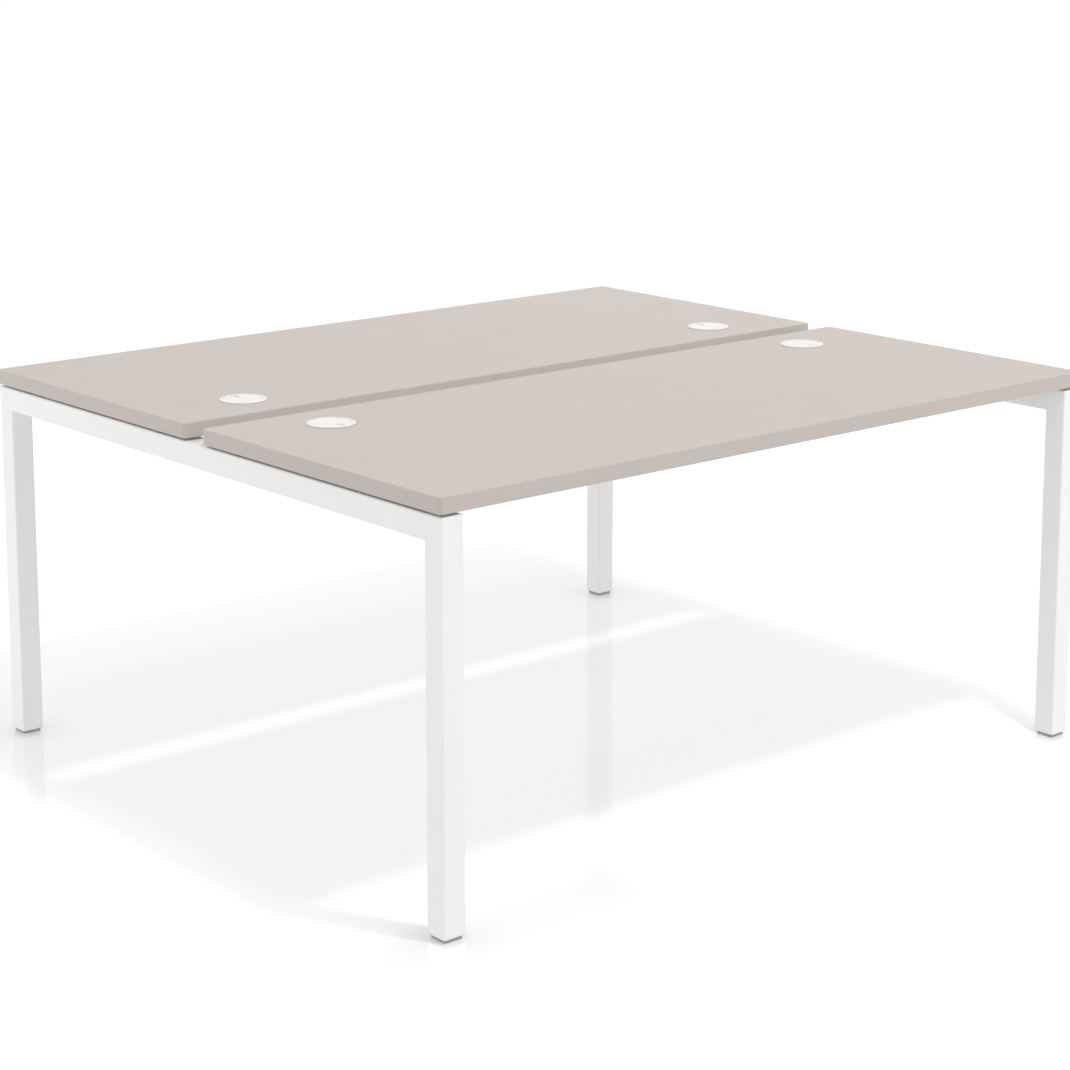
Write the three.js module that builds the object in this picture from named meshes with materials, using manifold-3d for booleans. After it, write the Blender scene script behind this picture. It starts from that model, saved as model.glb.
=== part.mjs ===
// Benching desk for two: a pair of worktops on one steel frame, with an open cable gap between them.
// Millimetres, +Z up, origin on the floor at the centre. X runs along the worktops and Y across them,
// from the near worktop to the far one.
import * as THREE from 'three';
import { mergeVertices } from 'three/addons/utils/BufferGeometryUtils.js';
import Module from 'manifold-3d';

const wasm = await Module();
wasm.setup();

// Whole desk
const DESK_WIDTH = 1600;
const DESK_HEIGHT = 740;
const TOP_DEPTH = 672;
const TOP_GAP = 56;

// Worktops: a board with an edge band bonded round it
const TOP_THICKNESS = 28;
const TOP_STANDOFF = 5;
const TOP_CORNER = 9;
const BAND_THICKNESS = 2;
const BAND_ARRIS = 1.5;

// End frames: two legs and a rail of square tube, mitred and welded
const TUBE_SIZE = 45;
const TUBE_WALL = 2;
const TUBE_ROUND = 3;
const END_OVERHANG = 4;
const SIDE_OVERHANG = 2;
const WELD_GAP = 0.3;

// Beams: one under the middle of each worktop, with an end plate bolted to each rail
const BEAM_WIDTH = 30;
const BEAM_HEIGHT = 40;
const BEAM_WALL = 2;
const BEAM_ROUND = 3;
const PLATE_MARGIN = 15;
const PLATE_THICKNESS = 5;
const PLATE_ROUND = 4;

// Beam bolts, with a hexagon head on a flange
const BOLT_SPREAD = 64;
const BOLT_SHANK = 8;
const BOLT_LENGTH = 20;
const BOLT_FLATS = 13;
const BOLT_HEAD_HEIGHT = 5.3;
const BOLT_FLANGE = 17;
const BOLT_FLANGE_HEIGHT = 1.4;

// Worktop screws, driven up through the frame and a spacer into the board
const SCREW_SPREAD = 480;
const SCREW_SHANK = 6;
const SCREW_COVER = 10;
const SCREW_POINT = 3;
const SCREW_HEAD = 12;
const SCREW_HEAD_HEIGHT = 4;
const SCREW_SOCKET_FLATS = 4;
const SCREW_SOCKET_DEPTH = 2.4;
const SPACER_SIZE = 30;

// Feet: a square pad on a threaded stud, which screws into a plug in the leg
const PAD_INSET = 3;
const PAD_HEIGHT = 6.7;
const PAD_CORNER = 3;
const PAD_EDGE = 0.8;
const POCKET_ROOF = 1.1;
const STUD_SHANK = 8;
const STUD_LENGTH = 44;
const STUD_DISC = 16;
const STUD_DISC_HEIGHT = 3;
const STUD_TIP = 1;
const PLUG_LIP_INSET = 0.5;
const PLUG_LIP_HEIGHT = 2;
const PLUG_LENGTH = 26;
const PLUG_RIB_COUNT = 3;
const PLUG_RIB_HEIGHT = 3;
const PLUG_RIB_REACH = 3.2;

// Cable grommets: a liner in the board, and a cap that turns on a pivot to uncover the cable notch
const GROMMET_END_INSET = 200;
const GROMMET_GAP_INSET = 110;
const GROMMET_HOLE = 80;
const FLANGE_LAP = 4;
const FLANGE_RISE = 2.5;
const FLANGE_EDGE = 0.8;
const FLANGE_CROWN = 3;
const LINER_WALL = 2;
const LINER_DEPTH = 20;
const LEDGE_WIDTH = 4.7;
const LEDGE_THICKNESS = 1.5;
const CAP_THICKNESS = 2.5;
const CAP_RECESS = 0.5;
const CAP_EDGE = 0.4;
const NOTCH_WIDTH = 16;
const NOTCH_END = 15;
const SHELF_LAP = 4;
const PIVOT_PIN = 6;
const PIVOT_BOSS = 16;
const PIVOT_DEPTH = 8;
const BARB_LIP = 1.2;
const BARB_HEIGHT = 2;

// Clearances: between seated pieces, between turning pieces, and round fasteners
const SEAT_GAP = 0.3;
const TURN_GAP = 0.4;
const FASTENER_GAP = 0.4;

// Fineness of round forms, and how far a cutter overshoots
const ARC_STEPS = 3;
const CORNER_STEPS = 1;
const ROUND_SIDES = 32;
const RING_SIDES = 12;
const SMALL_SIDES = 10;
const HEX_SIDES = 6;
const BAND_STEPS = 2;
const CUT_OVER = 2;
const MERGE_DISTANCE = 1e-4;
const LEAST_ROUND = 0.5;
const SIDES_PER_STEP = 8;

// Heights and centre lines that follow from the sizes above
const UNDERSIDE = DESK_HEIGHT - TOP_THICKNESS;
const FRAME_TOP = UNDERSIDE - TOP_STANDOFF;
const RAIL_BOTTOM = FRAME_TOP - TUBE_SIZE;
const BEAM_BOTTOM = FRAME_TOP - BEAM_HEIGHT;
const LIP_BOTTOM = PAD_HEIGHT + SEAT_GAP;
const LEG_BOTTOM = LIP_BOTTOM + PLUG_LIP_HEIGHT;
const TOP_CENTRE = (TOP_GAP + TOP_DEPTH) / 2;
const FRAME_REACH = TOP_DEPTH + TOP_GAP / 2 - SIDE_OVERHANG;
const LEG_Y = FRAME_REACH - TUBE_SIZE / 2;
const LEG_X = DESK_WIDTH / 2 - END_OVERHANG - TUBE_SIZE / 2;
const RAIL_INSIDE = LEG_X - TUBE_SIZE / 2;
const GROMMET_X = DESK_WIDTH / 2 - GROMMET_END_INSET;
const GROMMET_Y = TOP_GAP / 2 + GROMMET_GAP_INSET;
const SCREW_BITE = TOP_THICKNESS - SCREW_COVER;
const SCREW_HOLE = SCREW_SHANK / 2 + FASTENER_GAP;
const BOLT_HOLE = BOLT_SHANK / 2 + FASTENER_GAP;
const POCKET_CEILING = PAD_HEIGHT - POCKET_ROOF;
const POCKET_FLOOR = POCKET_CEILING - STUD_DISC_HEIGHT - 2 * SEAT_GAP;
const SLEEVE_RADIUS = GROMMET_HOLE / 2 - SEAT_GAP;
const LINER_BORE = SLEEVE_RADIUS - LINER_WALL;
const CAP_RADIUS = LINER_BORE - TURN_GAP;
const CAP_BOTTOM = FLANGE_RISE - CAP_RECESS - CAP_THICKNESS;
const LEDGE_TOP = CAP_BOTTOM - SEAT_GAP;
const BOSS_BOTTOM = LEDGE_TOP - PIVOT_DEPTH;

const SIDES = { near: -1, far: 1 };
const ENDS = { left: -1, right: 1 };
const PLACES = { inner: -1, outer: 1 };
const QUARTER = Math.PI / 2;

const FINISH = {
  board: { color: 0xd3cbc5, roughness: 0.55, metalness: 0 },
  band: { color: 0xc8c0ba, roughness: 0.5, metalness: 0 },
  paint: { color: 0xf1f1ef, roughness: 0.45, metalness: 0 },
  grommet: { color: 0xf2f2ee, roughness: 0.4, metalness: 0 },
  plug: { color: 0xe6e6e3, roughness: 0.5, metalness: 0 },
  spacer: { color: 0x2c2c2c, roughness: 0.7, metalness: 0 },
  foot: { color: 0x55565a, roughness: 0.65, metalness: 0 },
  zinc: { color: 0xb4b8bc, roughness: 0.35, metalness: 1 },
};

const AXIS_X = new THREE.Vector3(1, 0, 0);
const AXIS_Y = new THREE.Vector3(0, 1, 0);
const AXIS_Z = new THREE.Vector3(0, 0, 1);
// A section drawn in YZ runs along X, and a turned profile stands up along Z
const YZX = new THREE.Matrix4().makeBasis(AXIS_Y, AXIS_Z, AXIS_X);
// A section drawn in ZX runs along Y, and a turned profile lies along X
const ZXY = new THREE.Matrix4().makeBasis(AXIS_Z, AXIS_X, AXIS_Y);

// Closed solids and the cuts and joins between them
function toSolid(geometry) {
  const bare = geometry.clone();
  bare.deleteAttribute('normal');
  bare.deleteAttribute('uv');
  const merged = mergeVertices(bare, MERGE_DISTANCE);
  const corners = merged.index.array;
  const triangles = [];
  for (let i = 0; i < corners.length; i += 3) {
    const [a, b, c] = corners.slice(i, i + 3);
    if (a !== b && b !== c && c !== a) {
      triangles.push(a, b, c);
    }
  }
  const vertProperties = Float32Array.from(merged.attributes.position.array);
  const triVerts = Uint32Array.from(triangles);
  return new wasm.Manifold(new wasm.Mesh({ numProp: 3, vertProperties, triVerts }));
}

function toGeometry(solid) {
  const { vertProperties, triVerts, numProp } = solid.getMesh();
  const geometry = new THREE.BufferGeometry();
  geometry.setAttribute('position', new THREE.BufferAttribute(vertProperties, numProp));
  geometry.setIndex(new THREE.BufferAttribute(triVerts, 1));
  geometry.computeVertexNormals();
  return geometry;
}

function join(first, ...others) {
  return toGeometry(others.reduce((solid, other) => solid.add(toSolid(other)), toSolid(first)));
}

function cut(body, ...tools) {
  return toGeometry(tools.reduce((solid, tool) => solid.subtract(toSolid(tool)), toSolid(body)));
}

// Outlines
function roundedRectangle(width, height, round) {
  const r = Math.max(round, LEAST_ROUND);
  const x = width / 2 - r;
  const y = height / 2 - r;
  const shape = new THREE.Shape();
  for (const [quarter, sx, sy] of [[0, 1, 1], [1, -1, 1], [2, -1, -1], [3, 1, -1]]) {
    shape.absarc(sx * x, sy * y, r, quarter * QUARTER, (quarter + 1) * QUARTER);
  }
  return shape;
}

function tubeSection(width, height, round, wall) {
  const shape = roundedRectangle(width, height, round);
  shape.holes.push(roundedRectangle(width - 2 * wall, height - 2 * wall, round - wall));
  return shape;
}

// A polygon that stands in for a hole is drawn round the circle, so that its flats clear the shaft
function aroundCircle(radius, sides) {
  return radius / Math.cos(Math.PI / sides);
}

function hexagonRadius(flats) {
  return aroundCircle(flats / 2, HEX_SIDES);
}

function hole(x, y, radius, steps) {
  const path = new THREE.Path();
  const around = aroundCircle(radius, SIDES_PER_STEP * steps);
  for (const quarter of [0, 1, 2, 3]) {
    path.absarc(x, y, around, quarter * QUARTER, (quarter + 1) * QUARTER);
  }
  return path;
}

// Forms
function extrude(shape, depth, steps = CORNER_STEPS) {
  return new THREE.ExtrudeGeometry(shape, { depth, bevelEnabled: false, curveSegments: steps });
}

function extrudeSoft(shape, depth, edge, edgeSteps, steps) {
  const soft = new THREE.ExtrudeGeometry(shape, {
    depth: depth - 2 * edge,
    bevelThickness: edge,
    bevelSize: edge,
    bevelOffset: -edge,
    bevelSegments: edgeSteps,
    curveSegments: steps,
  });
  return soft.translate(0, 0, edge);
}

function turn(profile, sides) {
  const points = profile.map(([radius, height]) => new THREE.Vector2(radius, height));
  return new THREE.LatheGeometry(points, sides);
}

function upright(profile, sides = SMALL_SIDES) {
  return turn(profile, sides).applyMatrix4(YZX);
}

function post(radius, bottom, top, sides = SMALL_SIDES) {
  return upright([[0, bottom], [radius, bottom], [radius, top], [0, top]], sides);
}

function drill(radius, bottom, top) {
  return post(aroundCircle(radius, SMALL_SIDES), bottom - CUT_OVER, top + CUT_OVER);
}

// Worktop board, its underside at z = 0, with grommet holes and blind holes for the screws
function boardOutline() {
  const width = DESK_WIDTH - 2 * BAND_THICKNESS;
  const depth = TOP_DEPTH - 2 * BAND_THICKNESS;
  return roundedRectangle(width, depth, TOP_CORNER - BAND_THICKNESS);
}

function screwPlaces() {
  const places = [{ name: 'middle', x: 0, y: 0, bottom: BEAM_BOTTOM }];
  for (const [end, endSign] of Object.entries(ENDS)) {
    for (const [place, placeSign] of Object.entries(PLACES)) {
      const y = placeSign * SCREW_SPREAD / 2;
      places.push({ name: `${end}_${place}`, x: endSign * LEG_X, y, bottom: RAIL_BOTTOM });
    }
  }
  return places;
}

function board(sideSign) {
  const outline = boardOutline();
  const holeY = sideSign * (GROMMET_Y - TOP_CENTRE);
  for (const endSign of Object.values(ENDS)) {
    outline.holes.push(hole(endSign * GROMMET_X, holeY, GROMMET_HOLE / 2, ARC_STEPS));
  }
  const screwHoles = screwPlaces().map(({ x, y }) => (
    drill(SCREW_HOLE, 0, SCREW_BITE + SEAT_GAP - CUT_OVER).translate(x, sideSign * y, 0)
  ));
  return cut(extrude(outline, TOP_THICKNESS, ARC_STEPS), ...screwHoles);
}

function edgeBand() {
  const outside = roundedRectangle(DESK_WIDTH, TOP_DEPTH, TOP_CORNER);
  const inside = extrude(boardOutline(), TOP_THICKNESS + 2 * CUT_OVER, ARC_STEPS);
  return cut(
    extrudeSoft(outside, TOP_THICKNESS, BAND_ARRIS, BAND_STEPS, ARC_STEPS),
    inside.translate(0, 0, -CUT_OVER),
  );
}

// Tool that mitres the near end of a rail, or the top of the leg under it. Its section is drawn with
// one axis across the leg from its outer face and the other up from the top of the frame.
function mitreTool(cutsLeg) {
  const far = TUBE_SIZE + CUT_OVER;
  const slip = WELD_GAP / Math.SQRT2 * (cutsLeg ? -1 : 1);
  const shape = new THREE.Shape();
  shape.moveTo(-CUT_OVER, CUT_OVER + slip);
  if (cutsLeg) {
    shape.lineTo(far, -far + slip);
    shape.lineTo(far, CUT_OVER + slip);
  } else {
    shape.lineTo(-CUT_OVER, -far + slip);
    shape.lineTo(far, -far + slip);
  }
  const width = TUBE_SIZE + 2 * CUT_OVER;
  return extrude(shape, width).applyMatrix4(YZX).translate(-width / 2, 0, 0);
}

// Leg, standing on z = 0 under the near end of a rail
function leg() {
  const height = FRAME_TOP - LEG_BOTTOM;
  const tube = extrude(tubeSection(TUBE_SIZE, TUBE_SIZE, TUBE_ROUND, TUBE_WALL), height);
  return cut(tube, mitreTool(true).translate(0, -TUBE_SIZE / 2, height));
}

// Rail, along Y with its top at z = 0, drilled for the worktop screws and the beam bolts
function rail(endSign) {
  const section = tubeSection(TUBE_SIZE, TUBE_SIZE, TUBE_ROUND, TUBE_WALL);
  const tube = extrude(section, 2 * FRAME_REACH).applyMatrix4(ZXY);
  tube.translate(0, -FRAME_REACH, -TUBE_SIZE / 2);
  const mitre = mitreTool(false).translate(0, -FRAME_REACH, 0);
  const tools = [mitre, mitre.clone().rotateZ(Math.PI)];
  const boltRadius = aroundCircle(BOLT_HOLE, SMALL_SIDES);
  const boltDrill = new THREE.CylinderGeometry(
    boltRadius, boltRadius, 2 * (TUBE_WALL + CUT_OVER), SMALL_SIDES);
  boltDrill.applyMatrix4(ZXY).translate(-endSign * TUBE_SIZE / 2, 0, -BEAM_HEIGHT / 2);
  for (const sideSign of Object.values(SIDES)) {
    for (const placeSign of Object.values(PLACES)) {
      const screwY = sideSign * (TOP_CENTRE + placeSign * SCREW_SPREAD / 2);
      const boltY = sideSign * (TOP_CENTRE + placeSign * BOLT_SPREAD / 2);
      tools.push(drill(SCREW_HOLE, -TUBE_SIZE, 0).translate(0, screwY, 0));
      tools.push(boltDrill.clone().translate(0, boltY, 0));
    }
  }
  return cut(tube, ...tools);
}

// Beam, along X with its top at z = 0, its end plates fused to the tube and drilled for the bolts
function beam() {
  const length = 2 * RAIL_INSIDE;
  const tube = extrude(tubeSection(BEAM_WIDTH, BEAM_HEIGHT, BEAM_ROUND, BEAM_WALL), length);
  const outline = roundedRectangle(BOLT_SPREAD + 2 * PLATE_MARGIN, BEAM_HEIGHT, PLATE_ROUND);
  for (const placeSign of Object.values(PLACES)) {
    outline.holes.push(hole(placeSign * BOLT_SPREAD / 2, 0, BOLT_HOLE, CORNER_STEPS));
  }
  const plate = extrude(outline, PLATE_THICKNESS);
  const farPlate = plate.clone().translate(0, 0, length - PLATE_THICKNESS);
  const welded = join(tube, plate, farPlate).applyMatrix4(YZX);
  welded.translate(-RAIL_INSIDE, 0, -BEAM_HEIGHT / 2);
  return cut(welded, drill(SCREW_HOLE, -BEAM_HEIGHT, 0));
}

// Bolt, along +X with the seat of its flange at x = 0
function beamBolt() {
  const flange = BOLT_FLANGE / 2;
  const shank = BOLT_SHANK / 2;
  const body = turn([
    [0, -BOLT_FLANGE_HEIGHT],
    [flange, -BOLT_FLANGE_HEIGHT],
    [flange, 0],
    [shank, 0],
    [shank, BOLT_LENGTH],
    [0, BOLT_LENGTH],
  ], SMALL_SIDES);
  const radius = hexagonRadius(BOLT_FLATS);
  const head = new THREE.CylinderGeometry(radius, radius, BOLT_HEAD_HEIGHT, HEX_SIDES);
  head.translate(0, -(BOLT_HEAD_HEIGHT + BOLT_FLANGE_HEIGHT) / 2, 0);
  return join(body, head).applyMatrix4(ZXY);
}

// Spacer ring, standing on z = 0 between the frame and a worktop
function spacer() {
  const outer = SPACER_SIZE / 2;
  const inner = aroundCircle(SCREW_HOLE, RING_SIDES);
  return join(upright([
    [inner, 0],
    [outer, 0],
    [outer, TOP_STANDOFF],
    [inner, TOP_STANDOFF],
    [inner, 0],
  ], RING_SIDES));
}

// Worktop screw, with the seat of its head at z = 0
function topScrew(bottom) {
  const length = UNDERSIDE + SCREW_BITE - bottom;
  const shank = SCREW_SHANK / 2;
  const head = SCREW_HEAD / 2;
  const body = upright([
    [0, -SCREW_HEAD_HEIGHT],
    [head / 2, -SCREW_HEAD_HEIGHT],
    [head, -SCREW_HEAD_HEIGHT / 2],
    [head, 0],
    [shank, 0],
    [shank, length - SCREW_POINT],
    [0, length],
  ]);
  const socket = hexagonRadius(SCREW_SOCKET_FLATS);
  const socketTop = SCREW_SOCKET_DEPTH - SCREW_HEAD_HEIGHT;
  return cut(body, post(socket, -SCREW_HEAD_HEIGHT - CUT_OVER, socketTop, HEX_SIDES));
}

// Plug in the bottom of a leg, with its lip under the tube and the bottom of the lip at z = 0
function legPlug() {
  const lipSize = TUBE_SIZE - 2 * PLUG_LIP_INSET;
  const ribSize = TUBE_SIZE - 2 * TUBE_WALL - 2 * SEAT_GAP;
  const coreSize = ribSize - 2 * PLUG_RIB_REACH;
  const lip = extrude(roundedRectangle(lipSize, lipSize, TUBE_ROUND), PLUG_LIP_HEIGHT);
  const core = extrude(roundedRectangle(coreSize, coreSize, TUBE_ROUND), PLUG_LENGTH);
  const rib = extrude(roundedRectangle(ribSize, ribSize, TUBE_ROUND - TUBE_WALL), PLUG_RIB_HEIGHT);
  const pitch = (PLUG_LENGTH - PLUG_LIP_HEIGHT - PLUG_RIB_HEIGHT) / (PLUG_RIB_COUNT - 1);
  const ribs = [];
  for (let i = 0; i < PLUG_RIB_COUNT; i += 1) {
    ribs.push(rib.clone().translate(0, 0, PLUG_LIP_HEIGHT + i * pitch));
  }
  return cut(join(lip, core, ...ribs), drill(STUD_SHANK / 2 + TURN_GAP, 0, PLUG_LENGTH));
}

// Foot pad on the floor, with an undercut pocket that holds the disc of the stud
function footPad() {
  const size = TUBE_SIZE - 2 * PAD_INSET;
  const outline = roundedRectangle(size, size, PAD_CORNER);
  const block = extrudeSoft(outline, PAD_HEIGHT, PAD_EDGE, CORNER_STEPS, CORNER_STEPS);
  const pocket = aroundCircle(STUD_DISC / 2 + TURN_GAP, SMALL_SIDES);
  const mouth = aroundCircle(STUD_SHANK / 2 + TURN_GAP, SMALL_SIDES);
  return cut(block, upright([
    [0, POCKET_FLOOR],
    [pocket, POCKET_FLOOR],
    [pocket, POCKET_CEILING],
    [mouth, POCKET_CEILING],
    [mouth, PAD_HEIGHT + CUT_OVER],
    [0, PAD_HEIGHT + CUT_OVER],
  ]));
}

// Stud, with its disc in the pocket of the pad and its shank in the thread of the plug
function footStud() {
  const bottom = POCKET_FLOOR + SEAT_GAP;
  const disc = STUD_DISC / 2;
  const shank = STUD_SHANK / 2;
  const top = bottom + STUD_LENGTH;
  return join(upright([
    [0, bottom],
    [disc, bottom],
    [disc, bottom + STUD_DISC_HEIGHT],
    [shank, bottom + STUD_DISC_HEIGHT],
    [shank, top - STUD_TIP],
    [shank - STUD_TIP, top],
    [0, top],
  ]));
}

// Grommet liner, with the worktop's surface at z = 0. A shelf towards -Y closes the cable notch of the
// cap, and carries the boss that the cap turns in.
function grommetLiner() {
  const bore = aroundCircle(LINER_BORE, ROUND_SIDES);
  const flange = GROMMET_HOLE / 2 + FLANGE_LAP;
  const ledge = LINER_BORE - LEDGE_WIDTH;
  const ledgeBottom = LEDGE_TOP - LEDGE_THICKNESS;
  const ring = upright([
    [bore, -LINER_DEPTH],
    [SLEEVE_RADIUS, -LINER_DEPTH],
    [SLEEVE_RADIUS, 0],
    [flange, 0],
    [flange, FLANGE_EDGE],
    [flange - FLANGE_CROWN / 3, (FLANGE_EDGE + 2 * FLANGE_RISE) / 3],
    [flange - FLANGE_CROWN, FLANGE_RISE],
    [bore, FLANGE_RISE],
    [bore, LEDGE_TOP],
    [ledge, LEDGE_TOP],
    [ledge, ledgeBottom],
    [bore, ledgeBottom],
    [bore, -LINER_DEPTH],
  ], ROUND_SIDES);
  const shelfLength = ledge + LEDGE_WIDTH / 2;
  const shelf = new THREE.BoxGeometry(NOTCH_WIDTH + 2 * SHELF_LAP, shelfLength, LEDGE_THICKNESS);
  shelf.translate(0, -shelfLength / 2, LEDGE_TOP - LEDGE_THICKNESS / 2);
  const boss = post(PIVOT_BOSS / 2, BOSS_BOTTOM, LEDGE_TOP, RING_SIDES);
  return cut(join(ring, shelf, boss), drill(PIVOT_PIN / 2 + TURN_GAP, BOSS_BOTTOM, LEDGE_TOP));
}

// Grommet cap: a disc with a cable notch from its rim towards -Y, on a pin with a barb under the boss
function capOutline() {
  const half = NOTCH_WIDTH / 2;
  const notchAngle = Math.asin(half / CAP_RADIUS);
  const start = 3 * QUARTER + notchAngle;
  const sweep = (2 * QUARTER - notchAngle) / 2;
  const shape = new THREE.Shape();
  for (const step of [0, 1, 2, 3]) {
    shape.absarc(0, 0, CAP_RADIUS, start + step * sweep, start + (step + 1) * sweep);
  }
  shape.absarc(0, -NOTCH_END - half, half, 2 * QUARTER, 0, true);
  shape.closePath();
  return shape;
}

function grommetCap() {
  const plate = extrudeSoft(capOutline(), CAP_THICKNESS, CAP_EDGE, CORNER_STEPS, ARC_STEPS);
  const pin = PIVOT_PIN / 2;
  const pinTop = CAP_BOTTOM + CAP_THICKNESS / 2;
  const barbTop = BOSS_BOTTOM - SEAT_GAP;
  const pivot = upright([
    [0, barbTop - BARB_HEIGHT],
    [pin, barbTop - BARB_HEIGHT],
    [pin + BARB_LIP, barbTop],
    [pin, barbTop],
    [pin, pinTop],
    [0, pinTop],
  ]);
  return join(plate.translate(0, 0, CAP_BOTTOM), pivot);
}

// The assembly
const desk = new THREE.Group();

function add(parent, name, geometry, finish, [x, y, z], turnZ = 0) {
  const mesh = new THREE.Mesh(geometry, new THREE.MeshStandardMaterial(FINISH[finish]));
  mesh.name = name;
  mesh.position.set(x, y, z);
  mesh.rotation.z = turnZ;
  parent.add(mesh);
}

function addWorktops() {
  const band = edgeBand();
  const ring = spacer();
  for (const [side, sideSign] of Object.entries(SIDES)) {
    const top = new THREE.Group();
    top.position.y = sideSign * TOP_CENTRE;
    desk.add(top);
    add(top, `${side}_board`, board(sideSign), 'board', [0, 0, UNDERSIDE]);
    add(top, `${side}_edge_band`, band, 'band', [0, 0, UNDERSIDE]);
    for (const { name, x, y, bottom } of screwPlaces()) {
      add(top, `spacer_${side}_${name}`, ring, 'spacer', [x, sideSign * y, FRAME_TOP]);
      add(top, `top_screw_${side}_${name}`, topScrew(bottom), 'zinc', [x, sideSign * y, bottom]);
    }
  }
}

function addFrame() {
  const legTube = leg();
  const beamTube = beam();
  const bolt = beamBolt();
  const boltX = RAIL_INSIDE - PLATE_THICKNESS - SEAT_GAP;
  const boltZ = FRAME_TOP - BEAM_HEIGHT / 2;
  for (const [end, endSign] of Object.entries(ENDS)) {
    const boltTurn = endSign > 0 ? 0 : Math.PI;
    add(desk, `${end}_rail`, rail(endSign), 'paint', [endSign * LEG_X, 0, FRAME_TOP]);
    for (const [side, sideSign] of Object.entries(SIDES)) {
      const foot = [endSign * LEG_X, sideSign * LEG_Y, LEG_BOTTOM];
      add(desk, `${end}_${side}_leg`, legTube, 'paint', foot, sideSign < 0 ? 0 : Math.PI);
      for (const [place, placeSign] of Object.entries(PLACES)) {
        const seat = [endSign * boltX, sideSign * (TOP_CENTRE + placeSign * BOLT_SPREAD / 2), boltZ];
        add(desk, `beam_bolt_${side}_${end}_${place}`, bolt, 'zinc', seat, boltTurn);
      }
    }
  }
  for (const [side, sideSign] of Object.entries(SIDES)) {
    add(desk, `${side}_beam`, beamTube, 'paint', [0, sideSign * TOP_CENTRE, FRAME_TOP]);
  }
}

function addFeet() {
  const plug = legPlug();
  const pad = footPad();
  const stud = footStud();
  for (const [end, endSign] of Object.entries(ENDS)) {
    for (const [side, sideSign] of Object.entries(SIDES)) {
      const foot = new THREE.Group();
      foot.position.set(endSign * LEG_X, sideSign * LEG_Y, 0);
      desk.add(foot);
      add(foot, `leg_plug_${end}_${side}`, plug, 'plug', [0, 0, LIP_BOTTOM]);
      add(foot, `foot_pad_${end}_${side}`, pad, 'foot', [0, 0, 0]);
      add(foot, `foot_stud_${end}_${side}`, stud, 'zinc', [0, 0, 0]);
    }
  }
}

function addGrommets() {
  const liner = grommetLiner();
  const cap = grommetCap();
  for (const [side, sideSign] of Object.entries(SIDES)) {
    for (const [end, endSign] of Object.entries(ENDS)) {
      const grommet = new THREE.Group();
      grommet.position.set(endSign * GROMMET_X, sideSign * GROMMET_Y, DESK_HEIGHT);
      grommet.rotation.z = sideSign < 0 ? 0 : Math.PI;
      desk.add(grommet);
      add(grommet, `grommet_liner_${side}_${end}`, liner, 'grommet', [0, 0, 0]);
      add(grommet, `grommet_cap_${side}_${end}`, cap, 'grommet', [0, 0, 0]);
    }
  }
}

addWorktops();
addFrame();
addFeet();
addGrommets();

export default desk;
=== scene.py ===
"""Benching desk for two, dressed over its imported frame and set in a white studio."""
import math

import bmesh
import bpy
from bpy.props import FloatProperty, FloatVectorProperty, PointerProperty
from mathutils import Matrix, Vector


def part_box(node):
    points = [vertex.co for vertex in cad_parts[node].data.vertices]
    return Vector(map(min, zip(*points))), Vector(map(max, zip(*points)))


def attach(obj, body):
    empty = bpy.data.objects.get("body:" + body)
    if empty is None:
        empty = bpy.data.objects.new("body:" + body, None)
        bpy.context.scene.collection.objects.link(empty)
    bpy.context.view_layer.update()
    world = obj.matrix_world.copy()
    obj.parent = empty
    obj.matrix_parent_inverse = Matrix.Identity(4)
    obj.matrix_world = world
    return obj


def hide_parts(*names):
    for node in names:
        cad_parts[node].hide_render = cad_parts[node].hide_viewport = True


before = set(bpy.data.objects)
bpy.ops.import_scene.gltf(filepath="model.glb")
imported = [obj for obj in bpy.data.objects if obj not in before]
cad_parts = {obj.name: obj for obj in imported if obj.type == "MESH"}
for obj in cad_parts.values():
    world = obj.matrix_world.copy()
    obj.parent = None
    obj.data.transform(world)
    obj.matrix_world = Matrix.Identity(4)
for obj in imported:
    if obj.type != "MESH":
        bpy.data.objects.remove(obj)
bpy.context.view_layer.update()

bl_info = {
    "name": "Benching desk for two",
    "version": (1, 0, 0),
    "blender": (4, 5, 0),
    "location": "View3D > Sidebar > Desk",
    "description": "Dresses the packed desk with finished surfaces and sets it in a studio",
    "category": "Object",
}

MM = 0.001
QUARTER = math.pi / 2
FULL = 2 * math.pi
WHITE = (1.0, 1.0, 1.0, 1.0)

# Names of the places where like pieces stand, and of the body that carries most of them
BODY = "desk"
SIDES = ("near", "far")
ENDS = ("left", "right")
SCREW_PLACES = ("middle", "left_inner", "left_outer", "right_inner", "right_outer")
LEGS = [f"{end}_{side}" for end in ENDS for side in SIDES]
GROMMETS = [f"{side}_{end}" for side in SIDES for end in ENDS]
BOLTS = [f"{corner}_{spot}" for corner in GROMMETS for spot in ("inner", "outer")]
SCREWS = [f"{side}_{spot}" for side in SIDES for spot in SCREW_PLACES]

# Fineness of the meshes
CORNER_STEPS = 8
EDGE_STEPS = 5
ROUND_SIDES = 96
SMALL_SIDES = 48
RIPPLE_STEPS = 6
THREAD_SIDES = 32
THREAD_ROWS = 6
SHARP_ANGLE = math.radians(40)
FLAT_TOLERANCE = MM / 10

# Small forms, as shares of their sizes
RIPPLE_LOW = 0.86
BEAD_END = 0.55
BOLT_CROWN = 0.46
BOLT_CHAMFER = 0.52
SCREW_DOME = ((0.56, 0.0), (0.76, 0.08), (0.91, 0.25), (0.98, 0.46), (1.0, 0.62), (1.0, 1.0))
THREAD_FLANK = 1.3
THREAD_ROOT = 0.1

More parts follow.
